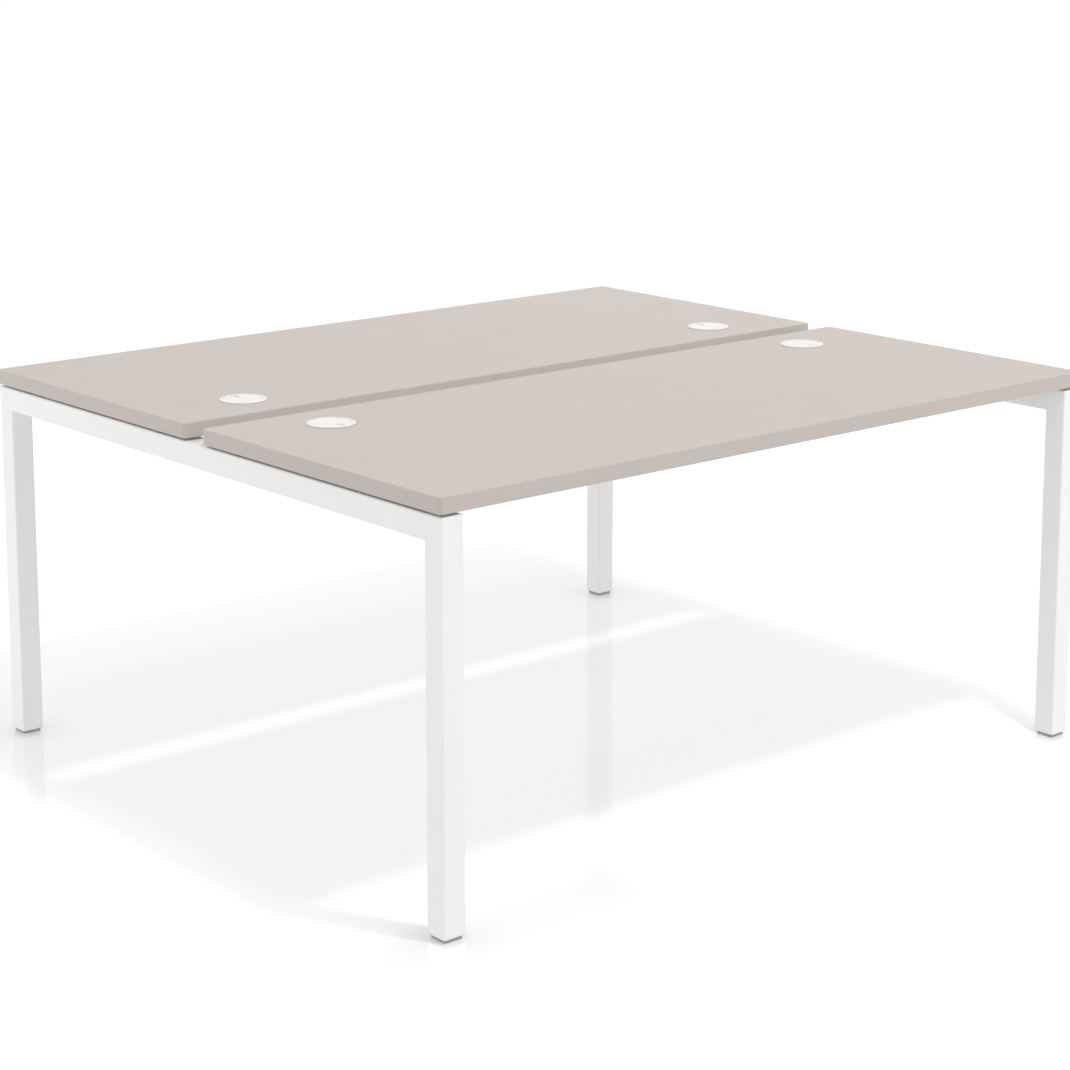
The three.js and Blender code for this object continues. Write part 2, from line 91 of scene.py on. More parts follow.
# Textures: detail of each noise, the limits that its values are stretched between, and shades
NOISE_ROUGHNESS = 0.55
TONE_DETAIL, TONE_LIMITS = 3.0, (0.32, 0.68)
CLOUD_DETAIL, CLOUD_LIMITS = 4.0, (0.3, 0.7)
WEAR_DETAIL, WEAR_LIMITS = 5.0, (0.35, 0.65)
GRAIN_DETAIL = 2.0
GRAIN_STRENGTH = 0.35
FLECK_SHADE = 0.9
RUBBED_SHADE = 0.94

# Sockets of Blender's nodes
COLOUR, VALUE = "NodeSocketColor", "NodeSocketFloat"
MIX_FACTOR, MIX_FIRST, MIX_SECOND, MIX_RESULT = 0, 6, 7, 2

# Studio, with its lamps in millimetres. A lamp with an aim is a softbox that points at that height
# over the middle of the desk, and the others are bulbs. Some light the floor alone, or all but the floor
CAMERA_REACH = 100000 * MM
# Samples of the ambient occlusion that paints contact shade into the floor's glow round the feet
CONTACT_SHADE_SAMPLES = 8
LAMPS = {
    "key": {"place": (186, -4800, 9460), "size": 400},
    "left_fill": {"place": (-3200, 2200, 850), "size": 1400, "aim": 500},
    "right_fill": {"place": (2600, -3200, 1300), "size": 1400, "aim": 500},
    "floor_key": {"place": (93, -2400, 5100), "size": 200, "floor": "INCLUDE"},
    "floor_softbox": {"place": (0, -200, 3000), "size": 1500, "aim": 0, "floor": "INCLUDE"},
    "top_softbox": {"place": (1500, 1300, 2600), "size": 1500, "aim": 500, "floor": "EXCLUDE"},
}


# Settings that a user would change

def length(name, description, millimetres):
    return FloatProperty(
        name=name, description=description, default=millimetres * MM,
        unit="LENGTH", subtype="DISTANCE", precision=5,
    )


def tone(name, description, rgb):
    return FloatVectorProperty(
        name=name, description=description, default=rgb, subtype="COLOR", min=0, max=1,
    )


def level(name, description, value):
    return FloatProperty(name=name, description=description, default=value, min=0)


def power(name, description, watts):
    return FloatProperty(name=name, description=description, default=watts, min=0, unit="POWER")


def angle(name, description, degrees):
    return FloatProperty(
        name=name, description=description, default=math.radians(degrees), subtype="ANGLE",
    )


class WorktopSettings(bpy.types.PropertyGroup):
    """Sizes and colours of the worktops"""

    corner: length("Corner radius", "Plan radius of a worktop's corners", 9)
    band: length("Band thickness", "Thickness of the edge band", 2)
    arris: length("Band arris", "Radius along the edges of the band", 1.5)
    board_colour: tone("Board", "Melamine of the boards", (0.549, 0.490, 0.451))
    band_colour: tone("Edge band", "Plastic of the edge bands", (0.527, 0.473, 0.439))


class FrameSettings(bpy.types.PropertyGroup):
    """Sizes and colours of the welded frame"""

    tube_round: length("Tube rounding", "Radius along the edges of the square tube", 3)
    tube_wall: length("Tube wall", "Wall of the square tube", 2)
    tube_open: length("Open depth", "How far up a leg is open, round its plug", 60)
    seam_reach: length("Seam reach", "Half the width of the dressed weld at a mitre", 0.8)
    seam_depth: length("Seam depth", "Depth of the dressed weld at a mitre", 0.12)
    cut_edge: length("Cut edge", "Softening of the sawn end of a leg", 0.4)
    beam_round: length("Beam rounding", "Radius along the edges of a beam", 3)
    beam_width: length("Beam width", "Width of a beam's tube", 30)
    plate_thickness: length("Plate thickness", "Thickness of a beam's end plate", 5)
    plate_round: length("Plate rounding", "Radius on the corners of an end plate", 4)
    plate_edge: length("Plate edge", "Softening along the edges of an end plate", 0.6)
    bead: length("Weld bead", "Leg of the fillet weld round a beam", 3.5)
    bead_pitch: length("Bead pitch", "Distance between the ripples of a weld", 3.5)
    paint_colour: tone("Powder coat", "Paint of the frame", (0.857, 0.857, 0.853))


class FixingSettings(bpy.types.PropertyGroup):
    """Sizes and colours of the bolts, screws, studs and spacers"""

    bolt_flats: length("Bolt flats", "Across the flats of a bolt's head", 13)
    bolt_reach: length("Bolt head height", "Height of a bolt's head and flange", 6)
    bolt_flange: length("Bolt flange", "Thickness of a bolt's flange", 1.4)
    bolt_shank: length("Bolt shank", "Diameter of a bolt's shank", 8)
    screw_shank: length("Screw shank", "Diameter of a worktop screw", 6)
    screw_head: length("Screw head height", "Height of a worktop screw's head", 4)
    screw_socket: length("Screw socket", "Across the flats of a screw's socket", 4)
    socket_depth: length("Socket depth", "Depth of a screw's socket", 2.4)
    screw_point: length("Screw point", "Length of a screw's point", 3)
    stud_shank: length("Stud shank", "Diameter of a foot's stud", 8)
    stud_disc: length("Stud disc", "Height of the disc on a stud", 3)
    pitch: length("Thread pitch", "Pitch of the stud's thread", 1.25)
    thread: length("Thread depth", "Depth of the stud's thread", 0.65)
    softening: length("Softening", "Broken edge on the fixings", 0.5)
    hole: length("Spacer hole", "Diameter of the hole in a spacer", 6.8)
    zinc_colour: tone("Zinc", "Plated steel of the fixings", (0.60, 0.61, 0.63))
    spacer_colour: tone("Spacer", "Plastic of the spacers", (0.028, 0.028, 0.029))


class FootSettings(bpy.types.PropertyGroup):
    """Sizes and colours of the feet"""

    corner: length("Pad corner", "Plan radius of a pad's corners", 5)
    edge: length("Pad edge", "Softening along a pad's upper edge", 0.6)
    sole: length("Pad sole", "Rounding along the edge of a pad's sole", 3.2)
    mouth: length("Pad mouth", "Diameter of the hole in the top of a pad", 8.8)
    pocket: length("Pad pocket", "Diameter of the pocket that holds a stud's disc", 16.8)
    roof: length("Pocket roof", "Thickness of the pad above its pocket", 1.1)
    pocket_height: length("Pocket height", "Height of the pocket", 3.6)
    pad_colour: tone("Foot", "Plastic of the pads", (0.285, 0.286, 0.290))
    plug_colour: tone("Plug", "Plastic of the leg plugs", (0.78, 0.78, 0.77))


class GrommetSettings(bpy.types.PropertyGroup):
    """Sizes and colours of the cable grommets"""

    hole: length("Hole", "Diameter of the hole in the board", 80)
    sleeve: length("Sleeve", "Outer radius of the liner in the hole", 39.7)
    bore: length("Bore", "Inner radius of the liner", 37.7)
    edge: length("Flange edge", "Height of the flange's outer edge", 0.8)
    relief: length("Flange relief", "Width of the hollow under the flange's outer edge", 1.2)
    relief_height: length("Relief height", "Height of the hollow under the flange", 0.5)
    crown: length("Flange crown", "Width of the flange's rounded shoulder", 3)
    lip: length("Flange lip", "Softening on the inside of the flange", 0.4)
    ledge: length("Ledge", "Inner radius of the ledge under the cap", 33)
    ledge_drop: length("Ledge drop", "Depth of the ledge below the flange's top", 3.1)
    ledge_thickness: length("Ledge thickness", "Thickness of the ledge and shelf", 1.7)
    shelf: length("Shelf width", "Width of the shelf that closes the notch", 24)
    boss: length("Boss", "Diameter of the pivot boss", 16)
    boss_depth: length("Boss depth", "Height of the pivot boss", 8)
    pivot_bore: length("Pivot bore", "Diameter of the bore in the boss", 6.8)
    cap: length("Cap radius", "Radius of the cap", 37.3)
    cap_thickness: length("Cap thickness", "Thickness of the cap", 2.5)
    cap_edge: length("Cap edge", "Softening along the cap's upper edge", 0.45)
    cap_under: length("Cap under-edge", "Softening along the cap's lower edge", 0.1)
    notch: length("Notch width", "Width of the cable notch", 16)
    notch_end: length("Notch end", "Distance from the pivot to the notch", 15)
    notch_round: length("Notch rounding", "Radius along the upper edge of the notch", 1.9)
    pin: length("Pin", "Diameter of the pivot pin", 6)
    barb: length("Barb", "Reach of the barb beyond the pin", 1.2)
    barb_height: length("Barb height", "Height of the barb", 2)
    colour: tone("Grommet", "Plastic of the liners and caps", (0.832, 0.820, 0.799))


class StageSettings(bpy.types.PropertyGroup):
    """Studio, lamps and camera"""

    floor_radius: length("Floor radius", "Radius of the studio floor", 5200)
    # The floor glows less near the desk than far from it: painted shade round and under the desk, on top
    # of the lamps' shadow
    floor_glow: level("Floor glow", "Brightness of the white floor in the desk's shadow", 0.591)
    far_glow: level("Far glow", "Brightness of the white floor away from the desk", 0.70)
    near_reach: length("Near reach", "Where the floor begins to brighten", 1700)
    far_reach: length("Far reach", "Where the floor is at its brightest", 3400)
    floor_tone: level("Floor tone", "How much the floor shows the shadow of the desk", 0.12)
    # Ambient occlusion dims the floor's glow round each foot: painted contact shade
    contact_reach: length("Contact reach", "How far the floor darkens round a foot", 90)
    contact_glow: level("Contact glow", "Share of the floor's brightness left under a foot", 0.55)
    floor_gloss: level("Floor gloss", "Share of mirror image in the floor", 0.22)
    floor_blur: level("Floor blur", "Blur of the mirror image in the floor", 0.09)
    bounce_drop: length("Bounce drop", "How far the floor that lights the desk lies lower", 1)
    bounce_glow: level("Bounce glow", "Light that the white floor gives the desk from below", 0.53)
    bounce_tone: level("Bounce", "Reflectance of the floor as seen by the desk", 0.4)
    fill: level("Fill", "Light that comes from all round", 0.80)
    key: power("Key", "Power of the key lamp", 1072)
    left_fill: power("Left fill", "Power of the soft lamp on the left", 15)
    right_fill: power("Right fill", "Power of the soft lamp on the right", 11)
    floor_key: power("Floor key", "Power of the lamp that draws the desk's shadow", 1600)
    floor_softbox: power("Floor softbox", "Power of the softbox over the floor", 73)
    top_softbox: power("Top softbox", "Power of the softbox over the tops", 6)
    lens: FloatProperty(
        name="Lens", description="Focal length of the camera", default=86, subtype="DISTANCE_CAMERA")
    shift: FloatProperty(name="Shift", description="Vertical shift of the lens", default=-0.18)
    pitch: angle("Pitch", "How far the camera looks down", 10.28)
    yaw: angle("Yaw", "Where the camera looks, from +Y", -40.52)
    eye: FloatVectorProperty(
        name="Eye", description="Where the camera stands", subtype="XYZ", unit="LENGTH",
        default=(-3.1989, -3.7336, 1.6872))


# Places of the nodes

def centre(node):
    low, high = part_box(node)
    return (low + high) / 2


def extent(node):
    low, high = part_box(node)
    return high - low


def bottom(node):
    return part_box(node)[0].z


def top(node):
    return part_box(node)[1].z


def base(node):
    """The middle of a node's underside"""
    return Vector((*centre(node).xy, bottom(node)))


def crest(node):
    """The top of a liner or cap on the liner's axis, because a notch puts a cap's own box off centre"""
    return (*centre(node.replace("cap", "liner")).xy, top(node))


# Outlines, as lists of (x, y)

def arc(x, y, radius, start, sweep, steps):
    turns = [start + sweep * i / steps for i in range(steps + 1)]
    return [(x + radius * math.cos(turn), y + radius * math.sin(turn)) for turn in turns]


def rounded_outline(width, depth, radius, inset=0.0):
    """A rectangle with rounded corners, moved inwards by the inset"""
    x, y = width / 2 - radius, depth / 2 - radius
    outline = []
    for quarter, corner in enumerate(((x, y), (-x, y), (-x, -y), (x, -y))):
        outline += arc(*corner, radius - inset, quarter * QUARTER, QUARTER, CORNER_STEPS)
    return outline


def circle_outline(radius, sides=SMALL_SIDES):
    return arc(0, 0, radius, 0, FULL, sides)[:-1]


def hexagon_outline(flats, limit=math.inf):
    """A hexagon whose corners are cut off by a circle, where the circle is the smaller"""
    outline, sixth = [], FULL / 6
    for u, v in circle_outline(1):
        off_flat = (math.atan2(v, u) + sixth / 2) % sixth - sixth / 2
        radius = min(flats / 2 / math.cos(off_flat), limit)
        outline.append((radius * u, radius * v))
    return outline


def circle_like(outline, radius):
    """A circle with a point in the direction of each point of the outline"""
    return [tuple(Vector(point).normalized() * radius) for point in outline]


def moved(outline, x, y):
    return [(u + x, v + y) for u, v in outline]


def dense(outline, step):
    """The outline with its long sides divided into steps"""
    points = []
    for a, b in zip(outline, outline[1:] + outline[:1]):
        start, run = Vector(a), Vector(b) - Vector(a)
        count = max(1, round(run.length / step))
        points += [tuple(start + run * i / count) for i in range(count)]
    return points


def shrunk(outline, insets):
    """The outline with each of its points moved inwards by its own inset"""
    points = [Vector(point) for point in outline]
    ways = [(b - a).normalized() for a, b in zip(points, points[1:] + points[:1])]
    moved_in = []
    for i, point in enumerate(points):
        before, after = ways[i - 1], ways[i]
        inward = Vector((-before.y - after.y, before.x + after.x)) / (1 + before.dot(after))
        moved_in.append(tuple(point + inward * insets[i]))
    return moved_in


def quarter_round(radius):
    """(inset, rise) along a rounded edge, from the flat face to the wall"""
    turns = [QUARTER * i / EDGE_STEPS for i in range(EDGE_STEPS + 1)]
    return [(radius * (1 - math.sin(turn)), radius * (1 - math.cos(turn))) for turn in turns]


def soft_wall(low, high, below, above):
    """(inset, z) up a wall whose lower and upper edges are rounded"""
    steps = [(inset, low + rise) for inset, rise in quarter_round(below)]
    return steps + [(inset, high - rise) for inset, rise in reversed(quarter_round(above))]


def upright(outline, z):
    return [(x, y, z) for x, y in outline]


def lying(outline, x):
    return [(x, u, v) for u, v in outline]


# Meshes

def loft(rings, cyclic=False):
    """A skin over rings of equal length, closed at its ends, or into a loop if it is cyclic"""
    shape = bmesh.new()
    loops = [[shape.verts.new(point) for point in ring] for ring in rings]
    pairs = list(zip(loops, loops[1:]))
    if cyclic:
        pairs.append((loops[-1], loops[0]))
    else:
        shape.faces.new(loops[0])
        shape.faces.new(loops[-1])
    for a, b in pairs:
        for i, corner in enumerate(a):
            shape.faces.new((a[i - 1], corner, b[i], b[i - 1]))
    bmesh.ops.recalc_face_normals(shape, faces=shape.faces)
    return shape


def spun(profile, sides=SMALL_SIDES, cyclic=False):
    """A turned form from (radius, height) points"""
    return loft([upright(circle_outline(radius, sides), z) for radius, z in profile], cyclic)


def soft_block(size, corner, low, high, edges, step=math.inf):
    """A block with rounded corners and softened lower and upper edges, as rings from the bottom up"""
    rings = []
    for inset, z in soft_wall(low, high, *edges):
        rings.append(upright(dense(rounded_outline(*size, corner, inset), step), z))
    return rings


def pierced_slab(outline, holes, low, high):
    shape = bmesh.new()
    for loop in (outline, *holes):
        below = [shape.verts.new(point) for point in upright(loop, low)]
        above = [shape.verts.new(point) for point in upright(loop, high)]
        for i in range(len(loop)):
            shape.faces.new((below[i - 1], below[i], above[i], above[i - 1]))
    for z in (low, high):
        rim = [e for e in shape.edges if all(abs(v.co.z - z) < FLAT_TOLERANCE for v in e.verts)]
        bmesh.ops.triangle_fill(shape, use_beauty=True, edges=rim)
    bmesh.ops.recalc_face_normals(shape, faces=shape.faces)
    return shape


def meshed(shape, name):
    """The mesh of a form, which is used up"""
    mesh = bpy.data.meshes.new(name)
    shape.to_mesh(mesh)
    shape.free()
    return mesh


def put(name, data):
    """A new object in the scene"""
    thing = bpy.data.objects.new(name, data)
    bpy.context.scene.collection.objects.link(thing)
    return thing


def combined(operation, *shapes):
    """The union of closed forms, or the first less the others. The forms are used up"""
    held = [put("form", meshed(shape, "form")) for shape in shapes]
    for tool in held[1:]:
        step = held[0].modifiers.new(operation.lower(), "BOOLEAN")
        step.operation = operation
        step.solver = "EXACT"
        step.object = tool
    whole = held[0].evaluated_get(bpy.context.evaluated_depsgraph_get())
    result = bmesh.new()
    result.from_mesh(whole.to_mesh())
    whole.to_mesh_clear()
    for thing in held:
        bpy.data.meshes.remove(thing.data)
    return result


def finished(shape, name, finish, edge_width=0):
    """A mesh with smooth rounds and crisp edges. Faces narrower than edge_width count as worn edges"""
    mesh = meshed(shape, name)
    mesh.polygons.foreach_set("use_smooth", [True] * len(mesh.polygons))
    mesh.set_sharp_from_angle(angle=SHARP_ANGLE)
    worn = mesh.attributes.new("edge", "FLOAT", "FACE")
    points = [vertex.co for vertex in mesh.vertices]
    for polygon in mesh.polygons:
        longest = max((points[a] - points[b]).length for a, b in polygon.edge_keys)
        worn.data[polygon.index].value = float(polygon.area / longest < edge_width)
    mesh.materials.append(finish)
    return mesh


def dress(mesh, name, body, slot, *nodes, at=(0, 0, 0), turn=0.0):
    """Puts a mesh in place of its nodes, riding on their body"""
    piece = put(name, mesh)
    piece.location = at
    piece.rotation_euler.z = turn
    normals = piece.modifiers.new("flat faces stay flat", "WEIGHTED_NORMAL")
    normals.keep_sharp = True
    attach(piece, body)
    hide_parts(*nodes)


def dress_family(settings, make, family, spots, piece, slot, seat, body=None, turned=None):
    """Dresses like nodes, with one mesh for each size. Those at a turned spot face the other way"""
    made = {}
    for spot in spots:
        node = f"{family}_{spot}"
        size = extent(node)
        kind = tuple(round(span / MM) for span in size)
        if kind not in made:
            made[kind] = make(settings, size)
        carrier = f"{body}_{spot}" if body else BODY
        turn = math.pi if turned and turned in spot else 0.0
        dress(made[kind], f"{piece}_{spot}", carrier, slot, node, at=seat(node), turn=turn)


# Shader nodes

def feed(tree, node, inputs):
    """Gives a node's inputs, by name or number, their values or links"""
    for key, value in inputs.items():
        if isinstance(value, bpy.types.NodeSocket):
            tree.links.new(value, node.inputs[key])
        else:
            node.inputs[key].default_value = value


def add(tree, kind, inputs=None, **values):
    node = tree.nodes.new(kind)
    for key, value in values.items():
        setattr(node, key, value)
    feed(tree, node, inputs or {})
    return node


def emptied(holder):
    """The node tree of a material or world, with nothing in it"""
    holder.use_nodes = True
    holder.node_tree.nodes.clear()
    return holder.node_tree


def noise(tree, scale, detail):
    where = add(tree, "ShaderNodeTexCoord").outputs["Object"]
    inputs = {"Vector": where, "Scale": scale, "Detail": detail, "Roughness": NOISE_ROUGHNESS}
    return add(tree, "ShaderNodeTexNoise", inputs).outputs["Fac"]


def ranged(tree, value, low, high, to_low=0.0, to_high=1.0):
    limits = {"From Min": low, "From Max": high, "To Min": to_low, "To Max": to_high}
    return add(tree, "ShaderNodeMapRange", {"Value": value, **limits}).outputs["Result"]


def product(tree, a, b):
    return add(tree, "ShaderNodeMath", {0: a, 1: b}, operation="MULTIPLY").outputs["Value"]


def blended(tree, mask, first, second):
    """Two colours mixed by a mask"""
    inputs = {MIX_FACTOR: mask, MIX_FIRST: first, MIX_SECOND: second}
    return add(tree, "ShaderNodeMix", inputs, data_type="RGBA").outputs[MIX_RESULT]


def summed(tree, first, *others):
    """The sum of shaders, as the material's surface"""
    total = first.outputs[0]
    for other in others:
        total = add(tree, "ShaderNodeAddShader", {0: total, 1: other.outputs[0]}).outputs[0]
    add(tree, "ShaderNodeOutputMaterial", {"Surface": total})


def opaque(rgb, factors=(1, 1, 1)):
    return (*[min(1.0, channel * factor) for channel, factor in zip(rgb, factors)], 1.0)


def grey(value):
    return opaque((value, value, value))


# Shader node groups that the materials share

def group_of(name, inputs, outputs):
    """A new group and its inputs, from the inputs' defaults and the outputs' kinds"""
    tree = bpy.data.node_groups.new(name, "ShaderNodeTree")
    for socket, value in inputs.items():
        kind = VALUE if isinstance(value, float) else COLOUR
        made = tree.interface.new_socket(name=socket, in_out="INPUT", socket_type=kind)
        made.default_value = value
    for socket, kind in outputs.items():
        tree.interface.new_socket(name=socket, in_out="OUTPUT", socket_type=kind)
    return tree, add(tree, "NodeGroupInput").outputs


def drifting_tone():
    """Colour that drifts a little towards a tint, in clouds of a given size"""
    inputs = {"Colour": WHITE, "Tint": WHITE, "Scale": 5.0, "Amount": 1.0}
    tree, given = group_of("drifting_tone", inputs, {"Colour": COLOUR})
    mask = ranged(tree, noise(tree, given["Scale"], TONE_DETAIL), *TONE_LIMITS)
    share = product(tree, mask, given["Amount"])
    colours = blended(tree, share, given["Colour"], given["Tint"])
    add(tree, "NodeGroupOutput", {"Colour": colours})
    return tree


def fine_relief():
    """Height and roughness of a coat, moulding or foil with a fine even texture"""
    inputs = {"Scale": 900.0, "Low Roughness": 0.4, "High Roughness": 0.5, "Cloud Scale": 12.0}
    tree, given = group_of("fine_relief", inputs, {"Height": VALUE, "Roughness": VALUE})
    height = noise(tree, given["Scale"], GRAIN_DETAIL)
    clouds = noise(tree, given["Cloud Scale"], CLOUD_DETAIL)
    rough = ranged(tree, clouds, *CLOUD_LIMITS, given["Low Roughness"], given["High Roughness"])
    add(tree, "NodeGroupOutput", {"Height": height, "Roughness": rough})
    return tree


def rubbed_edges():
    """Mask of the rounded edges, broken up where the wear is uneven"""
    tree, given = group_of("rubbed_edges", {"Scale": 60.0, "Amount": 0.5}, {"Mask": VALUE})
    edge = add(tree, "ShaderNodeAttribute", attribute_name="edge").outputs["Fac"]
    patches = ranged(tree, noise(tree, given["Scale"], WEAR_DETAIL), *WEAR_LIMITS)
    share = product(tree, patches, given["Amount"])
    add(tree, "NodeGroupOutput", {"Mask": product(tree, share, edge)})
    return tree


def use_group(tree, make, **inputs):
    """The outputs of a shared group, which is made the first time that it is asked for"""
    held = bpy.data.node_groups.get(make.__name__) or make()
    named = {key.replace("_", " "): value for key, value in inputs.items()}
    return add(tree, "ShaderNodeGroup", named, node_tree=held).outputs


# Materials

def surface(name, colour, tint, cloud, grain, rough, rub=None, specular=0.4, metallic=0.0, speckle=0.0):
    """A coat, foil, moulding or metal, in a colour that drifts towards its tint

    cloud is the scale and share of the drift, grain the scale and height of the relief, with the
    height in millimetres, rough the limits of the roughness, and rub the brightness and share of
    the rubbed edges.
    """
    made = bpy.data.materials.get(name)
    if made:
        return made
    made = bpy.data.materials.new(name)
    made.use_nodes = True
    tree = made.node_tree
    colours = use_group(tree, drifting_tone, Colour=opaque(colour), Tint=opaque(colour, tint),
                        Scale=cloud[0], Amount=cloud[1])["Colour"]
    if speckle:
        fleck = opaque(colour, [factor * FLECK_SHADE for factor in tint])
        colours = use_group(tree, drifting_tone, Colour=colours, Tint=fleck,
                            Scale=grain[0], Amount=speckle)["Colour"]
    if rub:
        bright, share = rub
        bare = use_group(tree, drifting_tone, Colour=opaque(colour, [bright] * 3),
                         Tint=opaque(colour, [bright * RUBBED_SHADE] * 3))["Colour"]
        mask = use_group(tree, rubbed_edges, Amount=share)["Mask"]
        colours = blended(tree, mask, colours, bare)
    relief = use_group(tree, fine_relief, Scale=grain[0], Low_Roughness=rough[0],
                       High_Roughness=rough[1])
    bump = {"Strength": GRAIN_STRENGTH, "Distance": grain[1] * MM, "Height": relief["Height"]}
    shader = next(node for node in tree.nodes if node.type == "BSDF_PRINCIPLED")
    feed(tree, shader, {
        "Base Color": colours,
        "Metallic": metallic,
        "Specular IOR Level": specular,
        "Roughness": relief["Roughness"],
        "Normal": add(tree, "ShaderNodeBump", bump).outputs["Normal"],
    })
    return made


def melamine(settings):
    return surface("melamine_board", settings.board_colour, tint=(0.985, 0.98, 0.975), cloud=(2.5, 0.35),
                   grain=(1400.0, 0.08), rough=(0.47, 0.51), specular=0.35, speckle=0.1)


def band_plastic(settings):
    return surface("edge_band_plastic", settings.band_colour, tint=(0.98, 0.975, 0.97), cloud=(9.0, 0.6),
                   grain=(1100.0, 0.03), rough=(0.40, 0.50), rub=(1.05, 0.5), specular=0.3)


def powder_coat(settings):
    return surface("white_powder_coat", settings.paint_colour, tint=(0.985, 0.985, 0.98), cloud=(6.0, 0.6),
                   grain=(700.0, 0.09), rough=(0.34, 0.46), rub=(1.03, 0.6))


def grommet_plastic(settings):
    return surface("satin_grommet", settings.colour, tint=(0.985, 0.985, 0.975), cloud=(30.0, 0.5),
                   grain=(1800.0, 0.03), rough=(0.42, 0.52), specular=0.2)


def plug_plastic(settings):
    return surface("moulded_plug", settings.plug_colour, tint=(0.95, 0.95, 0.94), cloud=(40.0, 0.6),
                   grain=(1800.0, 0.03), rough=(0.38, 0.50))


def spacer_plastic(settings):
    return surface("moulded_spacer", settings.spacer_colour, tint=(1.5, 1.5, 1.5), cloud=(60.0, 0.6),
                   grain=(1500.0, 0.04), rough=(0.50, 0.65))


def foot_plastic(settings):
    return surface("moulded_foot", settings.pad_colour, tint=(1.3, 1.3, 1.3), cloud=(70.0, 0.6),
                   grain=(1500.0, 0.05), rough=(0.45, 0.60), rub=(1.7, 0.5))


def zinc(settings):
    return surface("plated_zinc", settings.zinc_colour, tint=(0.86, 0.90, 0.96), cloud=(90.0, 0.8),
                   grain=(1300.0, 0.02), rough=(0.24, 0.40), specular=0.5, metallic=1.0)


# Pieces

class DESK_OT_boards(bpy.types.Operator):
    """Melamine boards, pierced for the cable grommets"""

    bl_idname = "desk.boards"
    bl_label = "Boards"

    def execute(self, context):
        worktop = context.scene.desk_worktop
        hole = circle_outline(context.scene.desk_grommet.hole / 2, ROUND_SIDES)
        for side in SIDES:
            node, name = f"{side}_board", f"board_{side}"
            outline = rounded_outline(*extent(node).xy, worktop.corner - worktop.band)
            holes = [moved(hole, *centre(f"grommet_liner_{side}_{end}").xy) for end in ENDS]
            slab = pierced_slab(moved(outline, *centre(node).xy), holes, bottom(node), top(node))
            dress(finished(slab, name, melamine(worktop)), name, BODY, "board", node)
        return {"FINISHED"}


class DESK_OT_edge_bands(bpy.types.Operator):
    """Edge bands round the boards, with a rounded arris above and below"""

    bl_idname = "desk.edge_bands"
    bl_label = "Edge bands"

    def execute(self, context):
        worktop = context.scene.desk_worktop
        band, arris = worktop.band, worktop.arris
        for side in SIDES:
            node, name = f"{side}_edge_band", f"band_{side}"
            size, middle, low, high = extent(node), centre(node), bottom(node), top(node)
            rings = []
            for inset, z in ((band, low), *soft_wall(low, high, arris, arris), (band, high)):
                outline = rounded_outline(*size.xy, worktop.corner, inset)
                rings.append(upright(moved(outline, *middle.xy), z))
            mesh = finished(loft(rings, cyclic=True), name, band_plastic(worktop), arris)
            dress(mesh, name, BODY, "edge_band", node)
        return {"FINISHED"}


class DESK_OT_end_frames(bpy.types.Operator):
    """End frames of square tube, each a rail mitred and welded to its two legs"""

    bl_idname = "desk.end_frames"
    bl_label = "End frames"

    def execute(self, context):
        settings = context.scene.desk_frame
        for end in ENDS:
            rail, legs = f"{end}_rail", [f"{end}_{side}_leg" for side in SIDES]
            name = f"end_frame_{end}"
            rings = self.rings(settings, rail, legs)
            mesh = finished(loft(rings), name, powder_coat(settings), settings.tube_round / 2)
            dress(mesh, name, BODY, "frame_paint", rail, *legs)
        return {"FINISHED"}

    @staticmethod
    def rings(settings, rail, legs):
        """Rings from inside the near leg, over both mitres, to inside the far leg"""
        tube, x, reach = extent(rail).x, centre(rail).x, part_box(legs[-1])[1].y
        low, high = bottom(legs[0]), top(rail)
        wall, seam = settings.tube_wall, settings.seam_reach

        def section(inset):
            return rounded_outline(tube, tube, settings.tube_round, inset)

        def foot(sign, inset, rise):
            return [(x + u, sign * (reach - tube / 2 - v), low + rise) for u, v in section(inset)]

        def mitre(sign, inset=0.0, down=0.0, along=0.0):
            ring = []
            for u, v in section(inset):
                depth = tube / 2 + v
                ring.append((x + u, sign * (reach - depth - along), high - depth - down))
            return ring

        def half(sign):
            mouth = [(wall, settings.tube_open), (wall, 0), *quarter_round(settings.cut_edge)]
            return [
                *[foot(sign, inset, rise) for inset, rise in mouth],
                mitre(sign, down=seam),
                mitre(sign, inset=settings.seam_depth),
                mitre(sign, along=seam),
            ]

        return half(-1) + half(1)[::-1]


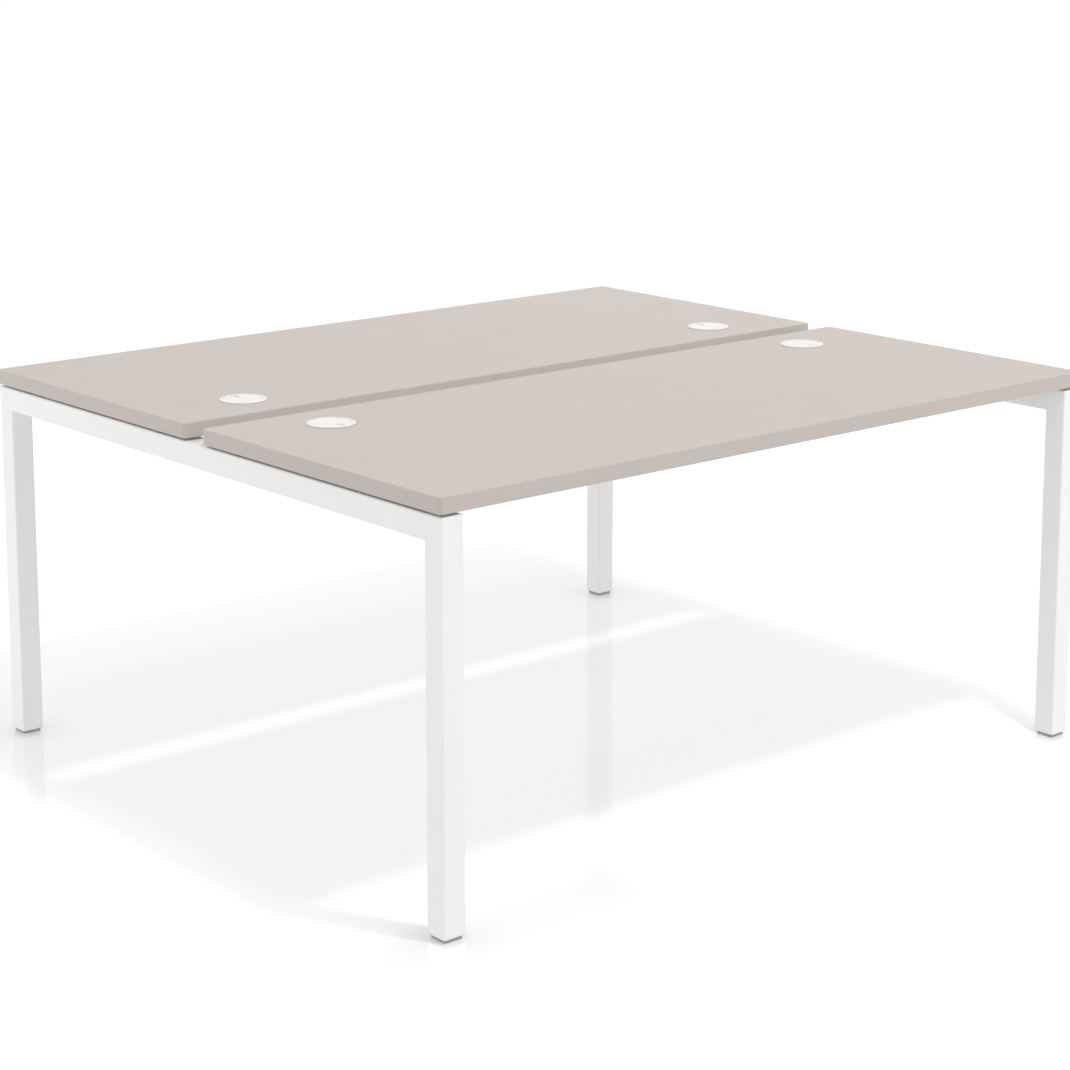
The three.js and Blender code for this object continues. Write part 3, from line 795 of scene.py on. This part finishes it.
class DESK_OT_beams(bpy.types.Operator):
    """Beams between the end frames, with end plates and fillet welds"""

    bl_idname = "desk.beams"
    bl_label = "Beams"

    def execute(self, context):
        settings = context.scene.desk_frame
        for side in SIDES:
            node, name = f"{side}_beam", f"welded_beam_{side}"
            shape = self.shape(settings, extent(node))
            mesh = finished(shape, name, powder_coat(settings), settings.plate_edge)
            dress(mesh, name, BODY, "frame_paint", node, at=centre(node))
        return {"FINISHED"}

    def shape(self, settings, size):
        inside, edge = size.x / 2 - settings.plate_thickness, settings.plate_edge
        section = rounded_outline(settings.beam_width, size.z, settings.beam_round)
        plate = soft_block(size.yz, settings.plate_round, inside, size.x / 2, (edge, edge))
        parts = [loft([lying(section, sign * (inside + edge)) for sign in (-1, 1)])]
        for sign in (-1, 1):
            parts.append(loft([[(sign * z, u, v) for u, v, z in ring] for ring in plate]))
            parts += [self.weld(settings, sign, side, inside, size.z) for side in (-1, 1)]
        return combined("UNION", *parts)

    @staticmethod
    def weld(settings, sign, side, inside, height):
        """A rippled fillet weld down one side of the tube, against the plate"""
        embed, wall = settings.plate_edge, settings.beam_width / 2
        run = height - 2 * settings.beam_round
        count = round(run / settings.bead_pitch) * RIPPLE_STEPS
        rings = []
        for i in range(count + 1):
            swell = RIPPLE_LOW + (1 - RIPPLE_LOW) * abs(math.sin(math.pi * i / RIPPLE_STEPS))
            swell *= min(1, BEAD_END + min(i, count - i) / RIPPLE_STEPS)
            face = arc(0, 0, settings.bead * swell, 0, QUARTER, EDGE_STEPS)
            corners = [(-embed, -embed), (face[0][0], -embed), *face, (-embed, face[-1][1])]
            z = run * (i / count - 0.5)
            rings.append([(sign * (inside - back), side * (wall + out), z) for out, back in corners])
        return loft(rings)


class DESK_OT_beam_bolts(bpy.types.Operator):
    """Flanged hexagon bolts that hold the beams to the rails"""

    bl_idname = "desk.beam_bolts"
    bl_label = "Beam bolts"

    def execute(self, context):
        settings = context.scene.desk_fixing
        dress_family(settings, self.bolt, "beam_bolt", BOLTS, "flange_bolt", "zinc_steel",
                     seat=lambda node: self.seat(settings, node), turned="left")
        return {"FINISHED"}

    @staticmethod
    def seat(settings, node):
        """Where the flange bears on the end plate"""
        middle = centre(node)
        outward = 1 if middle.x > 0 else -1
        middle.x += outward * (settings.bolt_reach - extent(node).x / 2)
        return middle

    @staticmethod
    def bolt(settings, size):
        flats, soft = settings.bolt_flats, settings.softening
        flange, shank = size.y / 2, settings.bolt_shank / 2
        head, thin = -settings.bolt_reach, -settings.bolt_flange
        tip = size.x - settings.bolt_reach
        rings = (
            (hexagon_outline(flats, flats * BOLT_CROWN), head),
            (hexagon_outline(flats, flats * BOLT_CHAMFER), head + soft),
            (hexagon_outline(flats), head + 2 * soft),
            (hexagon_outline(flats), thin - soft),
            (circle_outline(flange - 2 * soft), thin),
            (circle_outline(flange), thin / 2),
            (circle_outline(flange), 0),
            (circle_outline(shank), 0),
            (circle_outline(shank), tip - soft),
            (circle_outline(shank - soft), tip),
        )
        shape = loft([lying(outline, x) for outline, x in rings])
        return finished(shape, "flange_bolt", zinc(settings))


class DESK_OT_spacers(bpy.types.Operator):
    """Spacer rings that carry the boards above the frame"""

    bl_idname = "desk.spacers"
    bl_label = "Spacers"

    def execute(self, context):
        settings = context.scene.desk_fixing
        dress_family(settings, self.ring, "spacer", SCREWS, "spacer_ring", "spacer_plastic",
                     seat=centre)
        return {"FINISHED"}

    @staticmethod
    def ring(settings, size):
        outer, inner, half = size.x / 2, settings.hole / 2, size.z / 2
        wall = soft_wall(-half, half, settings.softening, settings.softening)
        profile = [(inner, -half), *[(outer - inset, z) for inset, z in wall], (inner, half)]
        return finished(spun(profile, cyclic=True), "spacer_ring", spacer_plastic(settings))


class DESK_OT_top_screws(bpy.types.Operator):
    """Socket screws that hold the boards down from below"""

    bl_idname = "desk.top_screws"
    bl_label = "Worktop screws"

    def execute(self, context):
        settings = context.scene.desk_fixing
        lift = Vector((0, 0, settings.screw_head))
        dress_family(settings, self.screw, "top_screw", SCREWS, "socket_screw", "zinc_steel",
                     seat=lambda node: base(node) + lift)
        return {"FINISHED"}

    @staticmethod
    def screw(settings, size):
        head, shank, soft = size.x / 2, settings.screw_shank / 2, settings.softening
        low, tip = -settings.screw_head, size.z - settings.screw_head
        flats = settings.screw_socket
        rings = [
            upright(hexagon_outline(flats), low + settings.socket_depth),
            upright(hexagon_outline(flats), low + soft / 2),
            upright(hexagon_outline(flats + soft), low),
        ]
        dome = [(head * share, low * (1 - rise)) for share, rise in SCREW_DOME]
        shaft = [(shank, 0), (shank, tip - settings.screw_point), (soft, tip)]
        rings += [upright(circle_outline(radius), z) for radius, z in dome + shaft]
        return finished(loft(rings), "socket_screw", zinc(settings))


class DESK_OT_leg_plugs(bpy.types.Operator):
    """Moulded finish on the plugs in the legs"""

    bl_idname = "desk.leg_plugs"
    bl_label = "Leg plugs"

    def execute(self, context):
        finish = plug_plastic(context.scene.desk_foot)
        for spot in LEGS:
            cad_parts[f"leg_plug_{spot}"].material_slots[0].material = finish
        return {"FINISHED"}


class DESK_OT_foot_pads(bpy.types.Operator):
    """Square foot pads, each with the pocket for its stud's disc"""

    bl_idname = "desk.foot_pads"
    bl_label = "Foot pads"

    def execute(self, context):
        settings = context.scene.desk_foot
        dress_family(settings, self.pad, "foot_pad", LEGS, "levelling_pad", "foot_plastic",
                     seat=base, body="foot")
        return {"FINISHED"}

    @staticmethod
    def pad(settings, size):
        edge, high, corner = settings.edge, size.z, settings.corner
        rings = soft_block(size.xy, corner, 0, high, (settings.sole, edge), corner / 2)
        square = dense(rounded_outline(*size.xy, corner), corner / 2)
        roof = high - settings.roof
        for diameter, z in (
            (settings.mouth + edge, high),
            (settings.mouth, high - edge / 2),
            (settings.mouth, roof),
            (settings.pocket, roof),
            (settings.pocket, roof - settings.pocket_height),
        ):
            rings.append(upright(circle_like(square, diameter / 2), z))
        return finished(loft(rings), "levelling_pad", foot_plastic(settings), edge / 2)


class DESK_OT_foot_studs(bpy.types.Operator):
    """Threaded studs that carry the feet"""

    bl_idname = "desk.foot_studs"
    bl_label = "Foot studs"

    def execute(self, context):
        settings = context.scene.desk_fixing
        dress_family(settings, self.stud, "foot_stud", LEGS, "threaded_stud", "zinc_steel",
                     seat=base, body="stud")
        return {"FINISHED"}

    @staticmethod
    def stud(settings, size):
        disc, thick, soft = size.x / 2, settings.stud_disc, settings.softening
        pitch, depth = settings.pitch, settings.thread
        root = settings.stud_shank / 2 - depth
        start, stop = thick + soft, size.z - 2 * soft
        rings = [upright(circle_outline(radius, THREAD_SIDES), z) for radius, z in (
            (disc - soft, 0), (disc, soft), (disc, thick - soft), (disc - soft, thick), (root, thick))]
        rows = round((stop - start) / pitch * THREAD_ROWS)
        for row in range(rows + 1):
            z = start + (stop - start) * row / rows
            ring = []
            for i, (u, v) in enumerate(circle_outline(1, THREAD_SIDES)):
                wave = abs(2 * ((z / pitch - i / THREAD_SIDES) % 1) - 1)
                radius = root + depth * min(1, max(0, THREAD_FLANK * wave - THREAD_ROOT))
                ring.append((radius * u, radius * v, z))
            rings.append(ring)
        rings.append(upright(circle_outline(root - soft, THREAD_SIDES), size.z))
        return finished(loft(rings), "threaded_stud", zinc(settings))


class DESK_OT_grommet_liners(bpy.types.Operator):
    """Grommet liners with a crowned flange, a ledge, a shelf and a pivot boss"""

    bl_idname = "desk.grommet_liners"
    bl_label = "Grommet liners"

    def execute(self, context):
        settings = context.scene.desk_grommet
        dress_family(settings, self.liner, "grommet_liner", GROMMETS, "cable_liner",
                     "grommet_plastic", seat=crest, turned="far")
        return {"FINISHED"}

    @staticmethod
    def liner(settings, size):
        """The liner, with the top of its flange at z = 0"""
        flange, bore, sleeve = size.x / 2, settings.bore, settings.sleeve
        board = top("near_board") - top("grommet_liner_near_left")
        shoulder, hollow = board + settings.edge, board + settings.relief_height
        lip, ledge = settings.lip, -settings.ledge_drop
        under, low = ledge - settings.ledge_thickness, ledge - settings.boss_depth
        inside = flange - settings.relief
        profile = [(bore, -size.z), (sleeve, -size.z), (sleeve, board), (inside, board),
                   (inside, hollow), (flange, hollow)]
        profile += [(flange - settings.crown * across, shoulder * down)
                    for down, across in quarter_round(1)]
        profile += [(bore + lip, 0), (bore, -lip), (bore, ledge), (settings.ledge, ledge),
                    (settings.ledge, under), (bore, under)]
        half, reach = settings.shelf / 2, (settings.ledge + bore) / 2
        corners = ((-half, -reach), (half, -reach), (half, lip), (-half, lip))
        boss, pivot = settings.boss / 2, settings.pivot_bore / 2
        whole = combined(
            "UNION",
            spun(profile, ROUND_SIDES, cyclic=True),
            loft([upright(corners, under), upright(corners, ledge)]),
            spun([(boss - lip, low), (boss, low + lip), (boss, ledge - lip / 2)]),
        )
        bored = combined("DIFFERENCE", whole, spun([(pivot, low - lip), (pivot, lip)]))
        return finished(bored, "cable_liner", grommet_plastic(settings))


class DESK_OT_grommet_caps(bpy.types.Operator):
    """Grommet caps with a cable notch, each on a barbed pivot pin"""

    bl_idname = "desk.grommet_caps"
    bl_label = "Grommet caps"

    def execute(self, context):
        settings = context.scene.desk_grommet
        dress_family(settings, self.cap, "grommet_cap", GROMMETS, "cable_cap", "grommet_plastic",
                     seat=crest, body="cap", turned="far")
        return {"FINISHED"}

    @staticmethod
    def cap(settings, size):
        """The cap, with its upper face at z = 0"""
        half, radius, thickness = settings.notch / 2, settings.cap, settings.cap_thickness
        notch = math.asin(half / radius)
        rim = arc(0, 0, radius, notch - QUARTER, FULL - 2 * notch, ROUND_SIDES)
        hollow = arc(0, -settings.notch_end - half, half, math.pi, -math.pi, 2 * CORNER_STEPS)
        rounds = [settings.cap_edge] * len(rim) + [settings.notch_round] * len(hollow)
        rings = []
        for inset, rise in quarter_round(settings.cap_under):
            rings.append(upright(shrunk(rim + hollow, [inset] * len(rounds)), rise - thickness))
        for inset, drop in reversed(quarter_round(1)):
            edge = shrunk(rim + hollow, [inset * reach for reach in rounds])
            rings.append([(x, y, -drop * reach) for (x, y), reach in zip(edge, rounds)])
        pin, low, soft = settings.pin / 2, -size.z, settings.cap_edge
        wide = low + settings.barb_height
        pivot = spun([(pin - soft, low), (pin, low + soft), (pin + settings.barb, wide), (pin, wide),
                      (pin, -thickness / 2)])
        whole = combined("UNION", loft(rings), pivot)
        return finished(whole, "cable_cap", grommet_plastic(settings))


class DESK_OT_stage(bpy.types.Operator):
    """White studio with its lamps, and the camera"""

    bl_idname = "desk.stage"
    bl_label = "Stage"

    def execute(self, context):
        settings = context.scene.desk_stage
        context.scene.view_settings.view_transform = "Standard"
        self.world(context.scene, settings)
        seen = self.floor("floor_seen", settings.floor_radius, 0.0, self.seen_finish(settings))
        bounce = self.floor("floor_bounce", settings.floor_radius, -settings.bounce_drop,
                            self.bounce_finish(settings))
        bounce.visible_camera = bounce.visible_glossy = bounce.visible_transmission = False
        seen.visible_diffuse = seen.visible_shadow = False
        for name, lamp in LAMPS.items():
            self.lamp(name, getattr(settings, name), seen, **lamp)
        self.camera(context.scene, settings)
        return {"FINISHED"}

    @staticmethod
    def world(scene, settings):
        """Even light from all round, with a white background where it is looked at"""
        scene.world = bpy.data.worlds.new("studio")
        tree = emptied(scene.world)
        path = add(tree, "ShaderNodeLightPath").outputs
        looked_at = path["Is Camera Ray"]
        for ray in ("Is Glossy Ray", "Is Transmission Ray"):
            either = {0: looked_at, 1: path[ray]}
            looked_at = add(tree, "ShaderNodeMath", either, operation="MAXIMUM").outputs["Value"]
        inputs = {0: looked_at}
        for socket, strength in ((1, settings.fill), (2, 1.0)):
            light = add(tree, "ShaderNodeBackground", {"Color": WHITE, "Strength": strength})
            inputs[socket] = light.outputs["Background"]
        mix = add(tree, "ShaderNodeMixShader", inputs)
        add(tree, "ShaderNodeOutputWorld", {"Surface": mix.outputs["Shader"]})

    @staticmethod
    def floor(name, radius, z, finish):
        shape = bmesh.new()
        ring = upright(circle_outline(radius, ROUND_SIDES), z)
        shape.faces.new([shape.verts.new(point) for point in ring])
        floor = put(name, meshed(shape, name))
        floor.data.materials.append(finish)
        return floor

    @staticmethod
    def seen_finish(settings):
        """White glowing floor that shows the desk's shadow softly, with painted shade where its glow is
        dimmer near the desk and round the feet, and a trace of its mirror image
        """
        made = bpy.data.materials.new("studio_floor")
        tree = emptied(made)
        where = add(tree, "ShaderNodeTexCoord").outputs["Object"]
        away = add(tree, "ShaderNodeVectorMath", {0: where}, operation="LENGTH").outputs["Value"]
        # The glow rises from the painted shade near the desk to full white far away
        glow = ranged(tree, away, settings.near_reach, settings.far_reach,
                      settings.floor_glow, settings.far_glow)
        # Ambient occlusion darkens the glow where the feet stand close: painted contact shade
        near = add(tree, "ShaderNodeAmbientOcclusion", {"Distance": settings.contact_reach},
                   samples=CONTACT_SHADE_SAMPLES)
        share = ranged(tree, near.outputs["AO"], 0, 1, settings.contact_glow, 1.0)
        gloss = {"Color": grey(settings.floor_gloss), "Roughness": settings.floor_blur}
        summed(
            tree,
            add(tree, "ShaderNodeEmission", {"Strength": product(tree, glow, share)}),
            add(tree, "ShaderNodeBsdfDiffuse", {"Color": grey(settings.floor_tone)}),
            add(tree, "ShaderNodeBsdfAnisotropic", gloss),
        )
        return made

    @staticmethod
    def bounce_finish(settings):
        """White floor as the desk sees it, which lights the desk from below"""
        made = bpy.data.materials.new("studio_bounce")
        tree = emptied(made)
        summed(
            tree,
            add(tree, "ShaderNodeEmission", {"Strength": settings.bounce_glow}),
            add(tree, "ShaderNodeBsdfDiffuse", {"Color": grey(settings.bounce_tone)}),
        )
        return made

    @staticmethod
    def lamp(name, watts, seen, place, size, aim=None, floor=None):
        """A bulb or softbox, which may be linked to the floor that is seen"""
        lamp = put(name, bpy.data.lights.new(name, "POINT" if aim is None else "AREA"))
        lamp.data.energy = watts
        lamp.location = Vector(place) * MM
        lamp.visible_glossy = False
        if aim is None:
            lamp.data.shadow_soft_size = size * MM
        else:
            lamp.data.shape = "DISK"
            lamp.data.size = size * MM
            way = Vector((0, 0, aim * MM)) - lamp.location
            lamp.rotation_euler = way.to_track_quat("-Z", "Y").to_euler()
        if floor:
            lit = bpy.data.collections.new(f"{name}_floor")
            lit.objects.link(seen)
            lit.collection_objects[0].light_linking.link_state = floor
            lamp.light_linking.receiver_collection = lit

    @staticmethod
    def camera(scene, settings):
        data = bpy.data.cameras.new("camera")
        data.lens = settings.lens
        data.shift_y = settings.shift
        data.clip_end = CAMERA_REACH
        scene.camera = put("camera", data)
        scene.camera.location = settings.eye
        scene.camera.rotation_euler = (QUARTER - settings.pitch, 0, settings.yaw)


class DESK_PT_pieces(bpy.types.Panel):
    """Lists the pieces of the desk in the sidebar"""

    bl_idname = "DESK_PT_pieces"
    bl_label = "Benching desk"
    bl_space_type = "VIEW_3D"
    bl_region_type = "UI"
    bl_category = "Desk"

    def draw(self, context):
        for operator in OPERATORS:
            self.layout.operator(operator.bl_idname)


SETTINGS = {
    "desk_worktop": WorktopSettings,
    "desk_frame": FrameSettings,
    "desk_fixing": FixingSettings,
    "desk_foot": FootSettings,
    "desk_grommet": GrommetSettings,
    "desk_stage": StageSettings,
}
OPERATORS = (
    DESK_OT_stage,
    DESK_OT_boards,
    DESK_OT_edge_bands,
    DESK_OT_end_frames,
    DESK_OT_beams,
    DESK_OT_beam_bolts,
    DESK_OT_spacers,
    DESK_OT_top_screws,
    DESK_OT_leg_plugs,
    DESK_OT_foot_pads,
    DESK_OT_foot_studs,
    DESK_OT_grommet_liners,
    DESK_OT_grommet_caps,
)
CLASSES = (*SETTINGS.values(), *OPERATORS, DESK_PT_pieces)


def register():
    for made in CLASSES:
        bpy.utils.register_class(made)
    for name, kind in SETTINGS.items():
        setattr(bpy.types.Scene, name, PointerProperty(type=kind))


def unregister():
    for name in SETTINGS:
        delattr(bpy.types.Scene, name)
    for made in reversed(CLASSES):
        bpy.utils.unregister_class(made)


def main():
    register()
    for operator in OPERATORS:
        family, name = operator.bl_idname.split(".")
        getattr(getattr(bpy.ops, family), name)()


if __name__ == "__main__":
    main()
